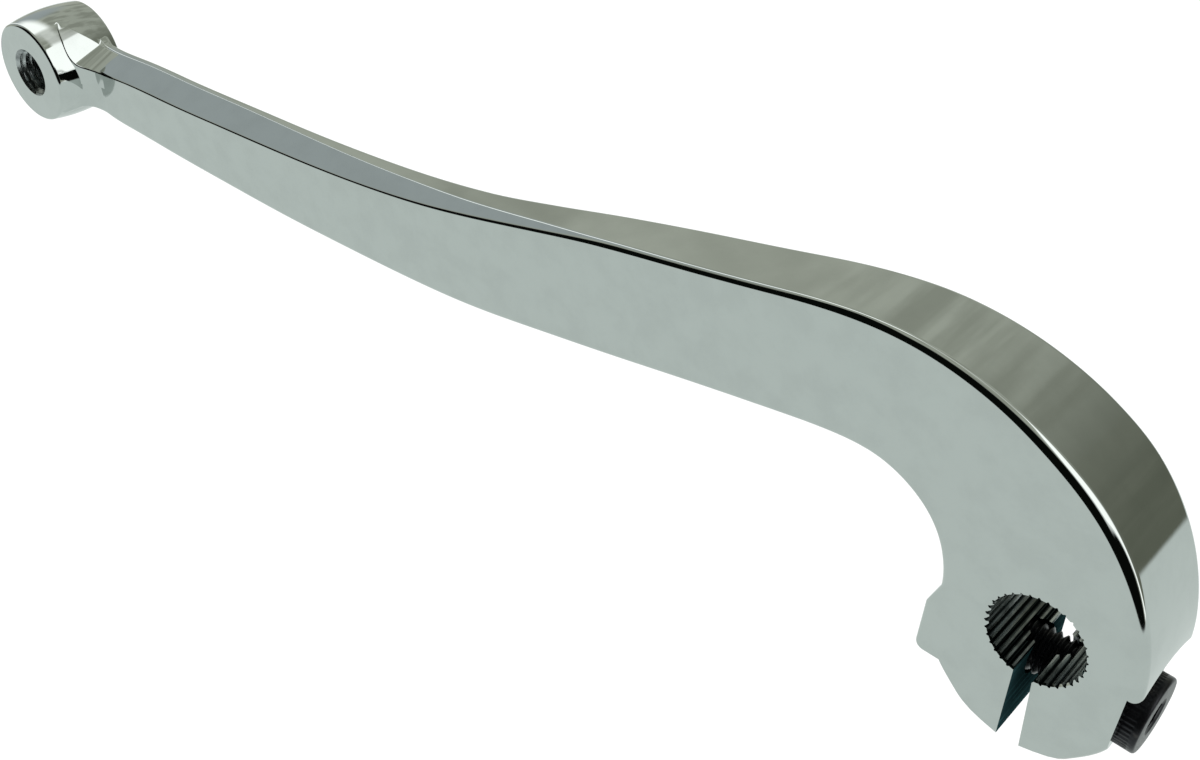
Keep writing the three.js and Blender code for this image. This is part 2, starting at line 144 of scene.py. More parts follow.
def length(name, default, description):
    """A size that a user can change, in metres."""
    return bpy.props.FloatProperty(
        name=name, description=description, default=default, min=0.0, precision=5, step=0.01,
        unit="LENGTH", subtype="DISTANCE",
    )


def colour(name, default, description):
    """A linear colour that a user can change."""
    return bpy.props.FloatVectorProperty(
        name=name, description=description, default=default, min=0.0, max=1.0, size=3, subtype="COLOR",
    )


def amount(name, default, description):
    """A plain number from 0 to 1 that a user can change."""
    return bpy.props.FloatProperty(
        name=name, description=description, default=default, min=0.0, max=1.0, subtype="FACTOR",
    )


class LeverArmSizes(bpy.types.PropertyGroup):
    """Sizes of the forged arm, its clamp and its cross barrel."""

    ring_pitch: length("Ring Pitch", 0.8 * MM, "Distance between the sections that shape the arm")
    edge_radius: length("Edge Radius", 1.0 * MM, "Rounding of the lower edges and the back upper edge")
    barrel_radius: length("Barrel Radius", 10.8 * MM, "Radius of the cross barrel at its ends")
    barrel_crown: length("Barrel Crown", 0.75 * MM, "How much the barrel swells half way along")
    barrel_edge: length("Barrel Edge", 0.6 * MM, "Rounding of the barrel's two rims")
    barrel_fillet: length("Barrel Fillet", 2.0 * MM, "Radius where the arm runs into the barrel")
    eye_major: length("Eye Major Radius", 5.0 * MM, "Outer radius of the thread in the barrel")
    eye_depth: length("Eye Thread Depth", 0.8 * MM, "Depth of the thread in the barrel")
    eye_pitch: length("Eye Pitch", 1.5 * MM, "Pitch of the thread in the barrel")
    spline_root: length("Spline Root Radius", 8.3 * MM, "Radius at the bottom of the spline's grooves")
    spline_tip: length("Spline Tip Radius", 7.7 * MM, "Radius at the tips of the spline's teeth")
    spline_teeth: bpy.props.IntProperty(
        name="Spline Teeth", description="How many teeth the spline has", default=36, min=6, max=80,
    )
    bore_chamfer: length("Bore Chamfer", 0.3 * MM, "Depth of the chamfer at each mouth of the bore")
    bolt_hole: length("Bolt Hole Radius", 4.4 * MM, "Radius of the cross hole for the pinch bolt")
    seat_radius: length("Seat Radius", 7.4 * MM, "Radius of the counterbore under the bolt's head")
    seat_x: length("Seat Height", 10.5 * MM, "Distance of the counterbore's floor from the bore's axis")
    flat_x: length("Flat Height", 14.8 * MM, "Distance of the milled flat from the bore's axis")
    flat_top: length("Flat Top", 1.2 * MM, "How far the milled flat runs up past the bore's axis")
    flat_cutter: length("Flat Cutter Radius", 20.0 * MM, "Radius of the cutter that mills the flat")
    lobe_corner: length("Lobe Corner", 1.6 * MM, "Rounding of the threaded lobe's lower corner")
    lobe_edge: length("Lobe Edge", 0.6 * MM, "Rounding of the threaded lobe's rims")


class PinchBoltSizes(bpy.types.PropertyGroup):
    """Sizes of the low-head socket screw."""

    head_radius: length("Head Radius", 6.5 * MM, "Radius of the head")
    head_height: length("Head Height", 5.0 * MM, "Height of the head")
    shank_radius: length("Shank Radius", 3.98 * MM, "Outer radius of the shank and its thread")
    thread_depth: length("Thread Depth", 0.68 * MM, "Depth of the thread")
    pitch: length("Pitch", 1.25 * MM, "Pitch of the thread")
    plain_shank: length("Plain Shank", 8.0 * MM, "Length of shank without a thread")
    socket_flats: length("Socket Across Flats", 5.0 * MM, "Width of the hexagon socket")
    socket_depth: length("Socket Depth", 3.0 * MM, "Depth of the hexagon socket")
    knurl_depth: length("Knurl Depth", 0.14 * MM, "Depth of the grip ridges round the head")
    knurl_ridges: bpy.props.IntProperty(
        name="Knurl Ridges", description="How many grip ridges go round the head", default=48, min=12, max=96,
    )


class LockWasherSizes(bpy.types.PropertyGroup):
    """Sizes of the split spring washer."""

    outer_radius: length("Outer Radius", 6.4 * MM, "Radius of the washer's rim")
    inner_radius: length("Inner Radius", 4.2 * MM, "Radius of the washer's hole")
    wire: length("Thickness", 1.1 * MM, "Thickness of the washer's wire")
    rise: length("Rise", 0.5 * MM, "How far one lip of the split stands above the other")
    gap: length("Gap", 1.2 * MM, "Width of the split")
    edge: length("Edge", 0.15 * MM, "Rounding of the wire's corners")


class LeverFinishes(bpy.types.PropertyGroup):
    """Colours and polish of the lever's metals."""

    chrome: colour("Chrome Plate", (0.50, 0.535, 0.52), "Tint of the chrome plate")
    chrome_polish: amount("Chrome Roughness", 0.05, "Roughness of the polished plate")
    machined: colour("Machined Steel", (0.50, 0.54, 0.54), "Colour of the cut spline and threads")
    slit: colour("Slit Faces", (0.018, 0.050, 0.054), "Colour of the sawn faces of the slit")
    # The slit colour is painted shade: the slit's walls lie in shadow.
    black_oxide: colour("Black Oxide", (0.022, 0.023, 0.026), "Colour of the bolt")
    zinc: colour("Zinc Plate", (0.42, 0.43, 0.43), "Colour of the lock washer")


class LeverStage(bpy.types.PropertyGroup):
    """The floor, the soft light and the camera."""

    floor_drop: length("Floor Drop", 140.0 * MM, "How far the floor lies below the lever")
    floor_size: length("Floor Size", 6.0, "Radius of the floor")
    floor_colour: colour("Floor", (0.93, 0.93, 0.93), "Colour of the pale floor")
    camera_place: bpy.props.FloatVectorProperty(
        name="Camera Place", description="Where the camera stands, from the middle of the bore",
        default=(0.0434585, -0.1702662, 0.1724214), size=3, unit="LENGTH", subtype="TRANSLATION",
    )
    camera_aim: bpy.props.FloatVectorProperty(
        name="Camera Aim", description="Direction that the camera looks in",
        default=(-0.4744695, 0.6024522, -0.6418177), size=3, subtype="DIRECTION",
    )
    camera_up: bpy.props.FloatVectorProperty(
        name="Camera Up", description="Direction of the picture's upright",
        default=(-0.4484643, 0.4619630, 0.7651601), size=3, subtype="DIRECTION",
    )
    camera_lens: bpy.props.FloatProperty(
        name="Lens", description="Focal length of the camera", default=47.159, min=1.0, unit="CAMERA",
    )


# ---- curves through the stations ----
def smooth_curve(knots, values, at):
    """A curve through the values with no kink in its slope or its bend, read at the given places."""
    knots, values = np.asarray(knots, float), np.asarray(values, float)
    count = len(knots)
    step = np.diff(knots)
    system = np.eye(count)
    target = np.zeros(count)
    for i in range(1, count - 1):
        system[i, i - 1:i + 2] = step[i - 1], 2 * (step[i - 1] + step[i]), step[i]
        target[i] = 6 * ((values[i + 1] - values[i]) / step[i] - (values[i] - values[i - 1]) / step[i - 1])
    bend = np.linalg.solve(system, target)
    i = np.clip(np.searchsorted(knots, at) - 1, 0, count - 2)
    a = (knots[i + 1] - at) / step[i]
    b = 1 - a
    return (a * values[i] + b * values[i + 1]
            + ((a ** 3 - a) * bend[i] + (b ** 3 - b) * bend[i + 1]) * step[i] ** 2 / 6)


def steady_curve(knots, values, at):
    """A curve through the values that never runs past them, so what is flat stays flat."""
    knots, values = np.asarray(knots, float), np.asarray(values, float)
    step = np.diff(knots)
    rise = np.diff(values) / step
    slope = np.zeros(len(knots))
    for i in range(1, len(knots) - 1):
        if rise[i - 1] * rise[i] > 0:
            slope[i] = 2 * rise[i - 1] * rise[i] / (rise[i - 1] + rise[i])
    i = np.clip(np.searchsorted(knots, at) - 1, 0, len(knots) - 2)
    t = (at - knots[i]) / step[i]
    return ((1 + 2 * t) * (1 - t) ** 2 * values[i] + t * (1 - t) ** 2 * step[i] * slope[i]
            + t ** 2 * (3 - 2 * t) * values[i + 1] + t ** 2 * (t - 1) * step[i] * slope[i + 1])


def rounded(corners, radii, steps):
    """A closed outline with each corner turned into an arc of steps + 1 points."""
    ring = []
    for i, corner in enumerate(corners):
        at = Vector(corner)
        back = Vector(corners[i - 1]) - at
        ahead = Vector(corners[(i + 1) % len(corners)]) - at
        half = back.angle(ahead) / 2
        reach = min(radii[i] / math.tan(half), 0.499 * back.length, 0.499 * ahead.length)
        start, end = at + back.normalized() * reach, at + ahead.normalized() * reach
        weight = math.sin(half)
        for k in range(steps + 1):
            t = k / steps
            a, b, c = (1 - t) ** 2, 2 * t * (1 - t) * weight, t * t
            ring.append((a * start + b * at + c * end) / (a + b + c))
    return ring


# ---- mesh helpers ----
def mesh_object(name, points, faces):
    """A plain mesh object at the origin."""
    mesh = bpy.data.meshes.new(name)
    mesh.from_pydata([tuple(p) for p in points], [], faces)
    mesh.validate()
    solid = bmesh.new()
    solid.from_mesh(mesh)
    bmesh.ops.recalc_face_normals(solid, faces=solid.faces)
    solid.to_mesh(mesh)
    solid.free()
    thing = bpy.data.objects.new(name, mesh)
    bpy.context.scene.collection.objects.link(thing)
    return thing


def stacked(name, rings):
    """A closed solid through rings of equal size, with flat ends."""
    size = len(rings[0])
    points = [p for ring in rings for p in ring]
    faces = [
        (r * size + k, (r + 1) * size + k, (r + 1) * size + (k + 1) % size, r * size + (k + 1) % size)
        for r in range(len(rings) - 1) for k in range(size)
    ]
    faces.append(tuple(range(size)))
    faces.append(tuple(reversed(range((len(rings) - 1) * size, len(rings) * size))))
    return mesh_object(name, points, faces)


def prism_y(name, outline, low, high):
    """A prism along Y from an outline in x and z."""
    return stacked(name, [[(x, y, z) for x, z in outline] for y in (low, high)])


def turned(name, profile, around, place=Matrix.Identity(4)):
    """A solid turned about Z from (radius, height) pairs, then put in place."""
    rings = []
    for radius, height in profile:
        angles = [2 * math.pi * k / around for k in range(around)]
        rings.append([place @ Vector((radius * math.cos(a), radius * math.sin(a), height)) for a in angles])
    return stacked(name, rings)


def along_y(x, z):
    """Stands a Z-wise shape along Y, at x and z."""
    return Matrix.Translation((x, 0, z)) @ Matrix.Rotation(-math.pi / 2, 4, "X")


def along_x(x, y, z):
    """Stands a Z-wise shape along X, with its zero at x, y and z."""
    return Matrix.Translation((x, y, z)) @ Matrix.Rotation(math.pi / 2, 4, "Y")


def arc_profile(radius, height, edge, steps, top):
    """Points round a turned rim, from its flank to its face, or from its face to its flank."""
    points = []
    for k in range(steps + 1):
        angle = (k / steps) * math.pi / 2
        out, up = radius - edge * (1 - math.cos(angle)), edge * (1 - math.sin(angle))
        points.append((out, height - up if top else height + up))
    return points if top else points[::-1]


def baked(thing, name):
    """The evaluated object as a new plain object; the one it came from is removed."""
    bpy.context.view_layer.update()
    graph = bpy.context.evaluated_depsgraph_get()
    evaluated = thing.evaluated_get(graph)
    mesh = bpy.data.meshes.new_from_object(evaluated, preserve_all_data_layers=True, depsgraph=graph)
    if not mesh.polygons:
        raise RuntimeError(f"{name} came out empty")
    mesh.name = name
    bpy.data.objects.remove(thing)
    plain = bpy.data.objects.new(name, mesh)
    bpy.context.scene.collection.objects.link(plain)
    return plain


def carve(thing, tool, operation):
    """Adds a boolean step and returns the tool, hidden, to be removed once the result is baked."""
    step = thing.modifiers.new(tool.name, "BOOLEAN")
    step.operation = operation
    step.solver = "MANIFOLD"
    step.object = tool
    tool.hide_render = True
    tool.hide_viewport = True
    return tool


def tidy_normals(thing, sharp_degrees):
    """Smooth shading with crisp edges, where the broad faces set the direction of the normals."""
    thing.data.shade_smooth()
    thing.data.set_sharp_from_angle(angle=math.radians(sharp_degrees))
    weigh = thing.modifiers.new("weighted_normals", "WEIGHTED_NORMAL")
    weigh.keep_sharp = True
    weigh.weight = 100
    return thing


def finished(thing, body, node):
    """Puts a finished piece in the frame: it rides on its body's empty and stands in for its CAD node, which
    is hidden.
    """
    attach(thing, body)
    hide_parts(node)
    return thing


# ---- node trees ----
def add_node(tree, kind, **settings):
    """A node with its plain settings and unlinked input values filled in."""
    node = tree.nodes.new(kind)
    inputs = settings.pop("inputs", {})
    for name, value in settings.items():
        setattr(node, name, value)
    for name, value in inputs.items():
        if isinstance(value, bpy.types.NodeSocket):
            tree.links.new(value, node.inputs[name])
        else:
            node.inputs[name].default_value = value
    return node


def maths(tree, operation, *values):
    """A math node's result, from sockets and numbers."""
    return add_node(tree, "ShaderNodeMath", operation=operation, inputs=dict(enumerate(values))).outputs[0]


def vector_maths(tree, operation, *values):
    """A vector math node, from sockets and vectors."""
    return add_node(tree, "ShaderNodeVectorMath", operation=operation, inputs=dict(enumerate(values)))


def ramped(tree, value, low, high, rises=True):
    """Goes smoothly from 0 to 1 (or from 1 to 0) as the value goes from low to high."""
    start, end = (0.0, 1.0) if rises else (1.0, 0.0)
    node = add_node(tree, "ShaderNodeMapRange", interpolation_type="SMOOTHSTEP", inputs={
        "Value": value, "From Min": low, "From Max": high, "To Min": start, "To Max": end})
    return node.outputs["Result"]


def mixed(tree, share, first, second):
    """The first colour where share is 0 and the second where it is 1."""
    node = add_node(tree, "ShaderNodeMix", data_type="RGBA")
    for socket, value in ((node.inputs["Factor"], share), (node.inputs[6], first), (node.inputs[7], second)):
        if isinstance(value, bpy.types.NodeSocket):
            tree.links.new(value, socket)
        else:
            socket.default_value = value
    return node.outputs[2]


def new_group(name, sockets):
    """An empty geometry tree with a mesh in, a mesh out and the named inputs."""
    tree = bpy.data.node_groups.new(name, "GeometryNodeTree")
    tree.interface.new_socket("Geometry", in_out="INPUT", socket_type="NodeSocketGeometry")
    for label, kind in sockets:
        tree.interface.new_socket(label, in_out="INPUT", socket_type=kind)
    tree.interface.new_socket("Geometry", in_out="OUTPUT", socket_type="NodeSocketGeometry")
    return tree, add_node(tree, "NodeGroupInput").outputs


def close_group(tree, geometry, material):
    """Ends a tree in Realize Instances and Set Material."""
    real = add_node(tree, "GeometryNodeRealizeInstances", inputs={"Geometry": geometry})
    painted = add_node(
        tree, "GeometryNodeSetMaterial", inputs={"Geometry": real.outputs[0], "Material": material})
    add_node(tree, "NodeGroupOutput", inputs={"Geometry": painted.outputs[0]})
    return tree


def thread_tree():
    """Sinks a right-hand helical groove into whatever stands round the Z axis between two heights."""
    floats = ("Start", "End", "Pitch", "Depth", "Fade In", "Fade Out", "Crest Flat")
    tree, given = new_group(
        "helical_thread", [(n, "NodeSocketFloat") for n in floats] + [("Material", "NodeSocketMaterial")])
    position = add_node(tree, "GeometryNodeInputPosition").outputs[0]
    part = add_node(tree, "ShaderNodeSeparateXYZ", inputs={0: position}).outputs
    angle = maths(tree, "ARCTAN2", part["Y"], part["X"])
    turns = maths(tree, "SUBTRACT", maths(tree, "DIVIDE", part["Z"], given["Pitch"]),
                  maths(tree, "DIVIDE", angle, 2 * math.pi))
    saw = maths(tree, "FRACT", turns)
    wave = maths(tree, "ABSOLUTE", maths(tree, "SUBTRACT", maths(tree, "MULTIPLY", saw, 2.0), 1.0))
    groove = add_node(tree, "ShaderNodeMapRange", inputs={
        "Value": wave, "From Min": given["Crest Flat"], "From Max": 0.9, "To Min": 0.0, "To Max": 1.0})
    start_end = maths(tree, "ADD", given["Start"], given["Fade In"])
    end_start = maths(tree, "SUBTRACT", given["End"], given["Fade Out"])
    begins = ramped(tree, part["Z"], given["Start"], start_end)
    ends = ramped(tree, part["Z"], end_start, given["End"], rises=False)
    sunk = maths(tree, "MULTIPLY", maths(tree, "MULTIPLY", groove.outputs[0], given["Depth"]),
                 maths(tree, "MULTIPLY", begins, ends))
    flat = add_node(tree, "ShaderNodeCombineXYZ", inputs={"X": part["X"], "Y": part["Y"]}).outputs[0]
    outwards = vector_maths(tree, "NORMALIZE", flat).outputs[0]
    shift = add_node(tree, "ShaderNodeVectorMath", operation="SCALE",
                     inputs={0: outwards, "Scale": maths(tree, "MULTIPLY", sunk, -1.0)}).outputs[0]
    moved = add_node(tree, "GeometryNodeSetPosition", inputs={"Geometry": given["Geometry"], "Offset": shift})
    return close_group(tree, moved.outputs[0], given["Material"])


def ring_tree():
    """Repeats a shape at even steps round the Y axis."""
    tree, given = new_group("ring_about_y", [("Count", "NodeSocketInt"), ("Material", "NodeSocketMaterial")])
    line = add_node(tree, "GeometryNodeMeshLine", inputs={"Count": given["Count"], "Offset": (0, 0, 0)})
    index = add_node(tree, "GeometryNodeInputIndex").outputs[0]
    step = maths(tree, "DIVIDE", 2 * math.pi, given["Count"])
    turn = add_node(tree, "ShaderNodeCombineXYZ", inputs={"Y": maths(tree, "MULTIPLY", index, step)})
    many = add_node(tree, "GeometryNodeInstanceOnPoints", inputs={
        "Points": line.outputs[0], "Instance": given["Geometry"], "Rotation": turn.outputs[0]})
    return close_group(tree, many.outputs[0], given["Material"])


def node_shaped(thing, tree, values, name):
    """Runs a geometry tree on an object and returns the result as a plain mesh object."""
    modifier = thing.modifiers.new(tree.name, "NODES")
    modifier.node_group = tree
    for item in tree.interface.items_tree:
        if item.in_out == "INPUT" and item.name in values:
            modifier[item.identifier] = values[item.name]
    return baked(thing, name)


# ---- metals ----
def new_metal(name, base, roughness, metallic=1.0):
    """A material with a principled shader; gives back the material, its tree and the shader."""
    material = bpy.data.materials.new(name)
    material.use_nodes = True
    tree = material.node_tree
    shader = tree.nodes["Principled BSDF"]
    shader.inputs["Base Color"].default_value = (*base, 1.0)
    shader.inputs["Metallic"].default_value = metallic
    shader.inputs["Roughness"].default_value = roughness
    return material, tree, shader


def grain(tree, scale, stretch, detail=3.0, seed=0.0):
    """Noise on the object's own coordinates, drawn out along its axes by stretch."""
    place = add_node(tree, "ShaderNodeTexCoord").outputs["Object"]
    mapping = add_node(tree, "ShaderNodeMapping", inputs={"Vector": place, "Location": (seed, seed, seed),
                                                          "Scale": stretch})
    noise = add_node(tree, "ShaderNodeTexNoise", inputs={
        "Vector": mapping.outputs[0], "Scale": scale, "Detail": detail, "Roughness": 0.55})
    return noise.outputs["Fac"]


def relief(tree, shader, height, depth):
    """Bends the surface by a height field of the given depth in metres."""
    bump = add_node(
        tree, "ShaderNodeBump", inputs={"Height": height, "Distance": depth, "Strength": 1.0})
    tree.links.new(bump.outputs[0], shader.inputs["Normal"])


def scaled(shade, share):
    """A colour made darker or lighter by a share."""
    return tuple(c * share for c in shade)


def tint(tree, shader, share, first, second):
    """Colours the metal: the first colour where share is 0 and the second where it is 1."""
    tree.links.new(mixed(tree, share, (*first, 1.0), (*second, 1.0)), shader.inputs["Base Color"])


def dull(tree, shader, pattern, least, spread):
    """Roughens the metal by a pattern: least where it is 0, and more by spread where it is 1."""
    tree.links.new(
        maths(tree, "ADD", maths(tree, "MULTIPLY", pattern, spread), least), shader.inputs["Roughness"])


def chrome_plate(finishes):
    """Bright plate over a hand-polished forging: faint waves, fine haze and hairline polish marks."""
    material, tree, shader = new_metal("chrome_plate", finishes.chrome, finishes.chrome_polish)
    haze = grain(tree, 190.0, (1, 1, 1), 4.0, 3.1)
    hairs = grain(tree, 900.0, (0.04, 1.0, 1.0), 2.0, 7.7)
    low = finishes.chrome_polish * 0.7
    cloud = ramped(tree, haze, 0.35, 0.72)
    marks = ramped(tree, hairs, 0.55, 0.8)
    spread = maths(tree, "ADD", maths(tree, "MULTIPLY", cloud, 0.035), maths(tree, "MULTIPLY", marks, 0.02))
    tree.links.new(maths(tree, "ADD", spread, low), shader.inputs["Roughness"])
    tint(tree, shader, cloud, finishes.chrome, scaled(finishes.chrome, 0.95))
    waves = grain(tree, 55.0, (1, 1, 1), 1.5, 1.3)
    peel = grain(tree, 420.0, (1, 1, 1), 2.0, 5.9)
    height = maths(tree, "ADD", waves, maths(tree, "MULTIPLY", peel, 0.06))
    relief(tree, shader, height, 0.00003)
    return material


# Painted shade for the spline's recessed groove bottoms.
PAINTED_GROOVE_SHADE = (0.02, 0.028, 0.03, 1.0)
TOOTH_SHOULDERS = (7.8 * MM, 8.05 * MM)  # from the bore's axis: the metal's own colour short of the first, painted groove shade past the second
CLAMP_REACH = (20 * MM, 30 * MM)         # the painted groove shade belongs to the bore and ends within this


def machined_steel(finishes):
    """Unplated steel, stained and scored along the cut, with painted shade in the bottoms of the grooves."""
    material, tree, shader = new_metal("machined_steel", finishes.machined, 0.3)
    scores = grain(tree, 2600.0, (1.0, 0.03, 1.0), 2.0, 2.2)
    stain = grain(tree, 260.0, (1, 1, 1), 3.0, 8.4)
    worn = ramped(tree, stain, 0.35, 0.7)
    metal = mixed(tree, worn, (*finishes.machined, 1.0), (*scaled(finishes.machined, 0.4), 1.0))
    place = add_node(tree, "ShaderNodeTexCoord").outputs["Object"]
    part = add_node(tree, "ShaderNodeSeparateXYZ", inputs={0: place}).outputs
    squares = [maths(tree, "MULTIPLY", part[axis], part[axis]) for axis in ("X", "Z")]
    radius = maths(tree, "SQRT", maths(tree, "ADD", *squares))
    in_bore = ramped(tree, radius, *CLAMP_REACH, rises=False)
    # groove is the mask of painted shade: dark in the bottoms of the grooves.
    groove = maths(tree, "MULTIPLY", ramped(tree, radius, *TOOTH_SHOULDERS), in_bore)
    tree.links.new(mixed(tree, groove, metal, PAINTED_GROOVE_SHADE), shader.inputs["Base Color"])
    dull(tree, shader, scores, 0.14, 0.3)
    relief(tree, shader, scores, 0.00002)
    return material


def painted_shade_slit_steel(finishes):
    """The slit's sawn walls, painted dark slate as shade, with the saw's marks running through the clamp."""
    material, tree, shader = new_metal("painted_shade_slit_steel", finishes.slit, 0.45, 0.0)
    shader.inputs["Specular IOR Level"].default_value = 0.0
    marks = grain(tree, 1500.0, (1.0, 0.05, 1.0), 2.0, 4.6)
    tint(tree, shader, ramped(tree, marks, 0.50, 0.70), finishes.slit, scaled(finishes.slit, 2.2))
    relief(tree, shader, marks, 0.00002)
    return material


RUBBED_STEEL = (0.075, 0.07, 0.066)


def black_oxide(finishes):
    """Oiled black oxide, rubbed to brown steel in places."""
    material, tree, shader = new_metal("black_oxide", finishes.black_oxide, 0.36, 0.85)
    rub = ramped(tree, grain(tree, 420.0, (1, 1, 1), 4.0, 6.3), 0.56, 0.78)
    tint(tree, shader, rub, finishes.black_oxide, RUBBED_STEEL)
    fine = grain(tree, 3200.0, (1, 1, 1), 2.0, 1.9)
    dull(tree, shader, fine, 0.22, 0.25)
    relief(tree, shader, fine, 0.00001)
    return material


def zinc_plate(finishes):
    """Dull zinc over spring wire, with draw marks round the wire."""
    material, tree, shader = new_metal("zinc_spring_steel", finishes.zinc, 0.34)
    bloom = ramped(tree, grain(tree, 700.0, (1, 1, 1), 5.0, 9.5), 0.3, 0.75)
    tint(tree, shader, bloom, finishes.zinc, scaled(finishes.zinc, 0.7))
    dull(tree, shader, bloom, 0.24, 0.2)
    relief(tree, shader, bloom, 0.00001)
    return material


# ---- lever arm ----
CORNER_STEPS = 6


def arm_rings(sizes):
    """The arm's sections at even steps along it, from inside the barrel to the clamp's foot."""
    rows = np.array(STATIONS) * MM
    rows[:, 4] /= MM
    middle = (rows[:, 0:2] + rows[:, 2:4]) / 2
    knots = np.concatenate([[0.0], np.cumsum(np.linalg.norm(np.diff(middle, axis=0), axis=1))])
    at = np.linspace(0.0, knots[-1], int(knots[-1] / sizes.ring_pitch) + 1)
    edges = [smooth_curve(knots, rows[:, c], at) for c in range(4)]
    sweep, depth, drop, run, soft = (steady_curve(knots, rows[:, c], at) for c in range(4, 9))
    front, barrel_front = CLAMP_FRONT.y, EYE_FRONT.y
    swell = sizes.barrel_radius + sizes.barrel_crown
    rings = []
    for k in range(len(at)):
        low_x, low_z, high_x, high_z = (e[k] for e in edges)
        show = front + sweep[k] * (barrel_front - front)
        flare = barrel_flare((low_x + high_x) / 2, (high_z - low_z) / 2, swell, sizes.barrel_fillet)
        along = Vector((high_x - low_x, high_z - low_z))
        tall = along.length + flare
        along.normalize()
        corners = ((-flare, show), (tall - drop[k], show), (tall, show + run[k]),
                   (tall, front + depth[k] + flare * 0.5), (-flare, front + depth[k] + flare * 0.5))
        radii = (sizes.edge_radius, soft[k], soft[k], sizes.edge_radius, sizes.edge_radius)
        section = rounded(corners, radii, CORNER_STEPS)
        rings.append([(low_x + along.x * p.x, p.y, low_z + along.y * p.x) for p in section])
    return rings


def barrel_flare(x, half, swell, fillet):
    """How far an edge spreads to meet the barrel in a fillet, at x, with the arm half as tall as given."""
    centre = -math.sqrt(max((swell + fillet) ** 2 - (half + fillet) ** 2, 0.0))
    reach = min(max(EYE_FRONT.x - centre - x, 0.0), -centre * fillet / (swell + fillet))
    return fillet - math.sqrt(max(fillet ** 2 - reach ** 2, 0.0))


def barrel_solid(sizes):
    """The crowned cross barrel with rounded rims."""
    front, back = EYE_FRONT.y, EYE_BACK.y
    middle, edge = (front + back) / 2, sizes.barrel_edge
    flank = (back - front) / 2 - edge
    profile = [(0.0001, front)] + arc_profile(sizes.barrel_radius, front, edge, 5, False)
    for k in range(1, 16):
        at = -1 + 2 * k / 16
        profile.append((sizes.barrel_radius + sizes.barrel_crown * (1 - at * at), middle + flank * at))
    profile += arc_profile(sizes.barrel_radius, back, edge, 5, True) + [(0.0001, back)]
    return turned("barrel", profile, 128, along_y(EYE_FRONT.x, 0))


def gusset_solid():
    """The web that carries the shoulder up the barrel's side."""
    rows = np.array(GUSSET_ROWS) * MM
    at = np.linspace(rows[0, 0], rows[-1, 0], 60)
    front_y, front_z, back_y, back_z = (steady_curve(rows[:, 0], rows[:, c], at) for c in range(1, 5))
    rings = []
    for k, x in enumerate(at):
        corners = ((front_y[k], 0.0), (front_y[k], front_z[k]), (back_y[k], back_z[k]), (back_y[k], 0.0))
        ring = rounded(corners, (0.0001 * MM, 0.35 * MM, 0.25 * MM, 0.0001 * MM), 4)
        rings.append([(x, p.x, p.y) for p in ring])
    return stacked("gusset", rings)


def inset(outline, distance):
    """A convex outline moved inwards by a distance."""
    moved = []
    for i, corner in enumerate(outline):
        at = Vector(corner)
        back = (Vector(outline[i - 1]) - at).normalized()
        ahead = (Vector(outline[(i + 1) % len(outline)]) - at).normalized()
        half = back.angle(ahead) / 2
        moved.append(at + (back + ahead).normalized() * (distance / math.sin(half)))
    return moved


def lobe_solid(sizes):
    """The lobe that gives the bolt's thread its length."""
    corners = [Vector(p) * MM for p in LOBE_OUTLINE]
    radii = [0.01 * MM, 0.8 * MM, 0.8 * MM, sizes.lobe_corner, 0.01 * MM]
    outline = rounded(corners, radii, 6)
    outline = [p for i, p in enumerate(outline) if (p - outline[i - 1]).length > 0.02 * MM]
    front, back, edge = CLAMP_FRONT.y, CLAMP_BACK.y, sizes.lobe_edge
    rings = []
    for k in range(5):
        angle = (k / 4) * math.pi / 2
        shrunk = inset(outline, edge * (1 - math.sin(angle)))
        rings.append([(p.x, front + edge * (1 - math.cos(angle)), p.y) for p in shrunk])
    rings += [[(x, front + back - y, z) for x, y, z in ring] for ring in reversed(rings)]
    return stacked("lobe", rings)


def mouth_cone(name, radius, depth, face, x, outwards):
    """A 45 degree cone that breaks the rim of a hole in the face at y."""
    over = 1.0 * MM
    profile = [(radius + depth + over, 0.0), (0.0001, radius + depth + over)]
    place = Matrix.Translation((x, face + outwards * over, 0))
    turn = Matrix.Rotation(outwards * math.pi / 2, 4, "X")
    return turned(name, profile, 96, place @ turn)


def groove_cutter(sizes):
    """One groove between two spline teeth, with a rounded floor."""
    step = 2 * math.pi / sizes.spline_teeth
    tip, root = sizes.spline_tip, sizes.spline_root
    inner = tip - 0.4 * MM
    half = 0.37 * step * tip
    outline = [(inner, -half), (tip, -half), (root - 0.12 * MM, -half * 0.34), (root, -half * 0.14),
               (root, half * 0.14), (root - 0.12 * MM, half * 0.34), (tip, half), (inner, half)]
    return prism_y("spline_groove", outline, CLAMP_FRONT.y - MM, CLAMP_BACK.y + MM)


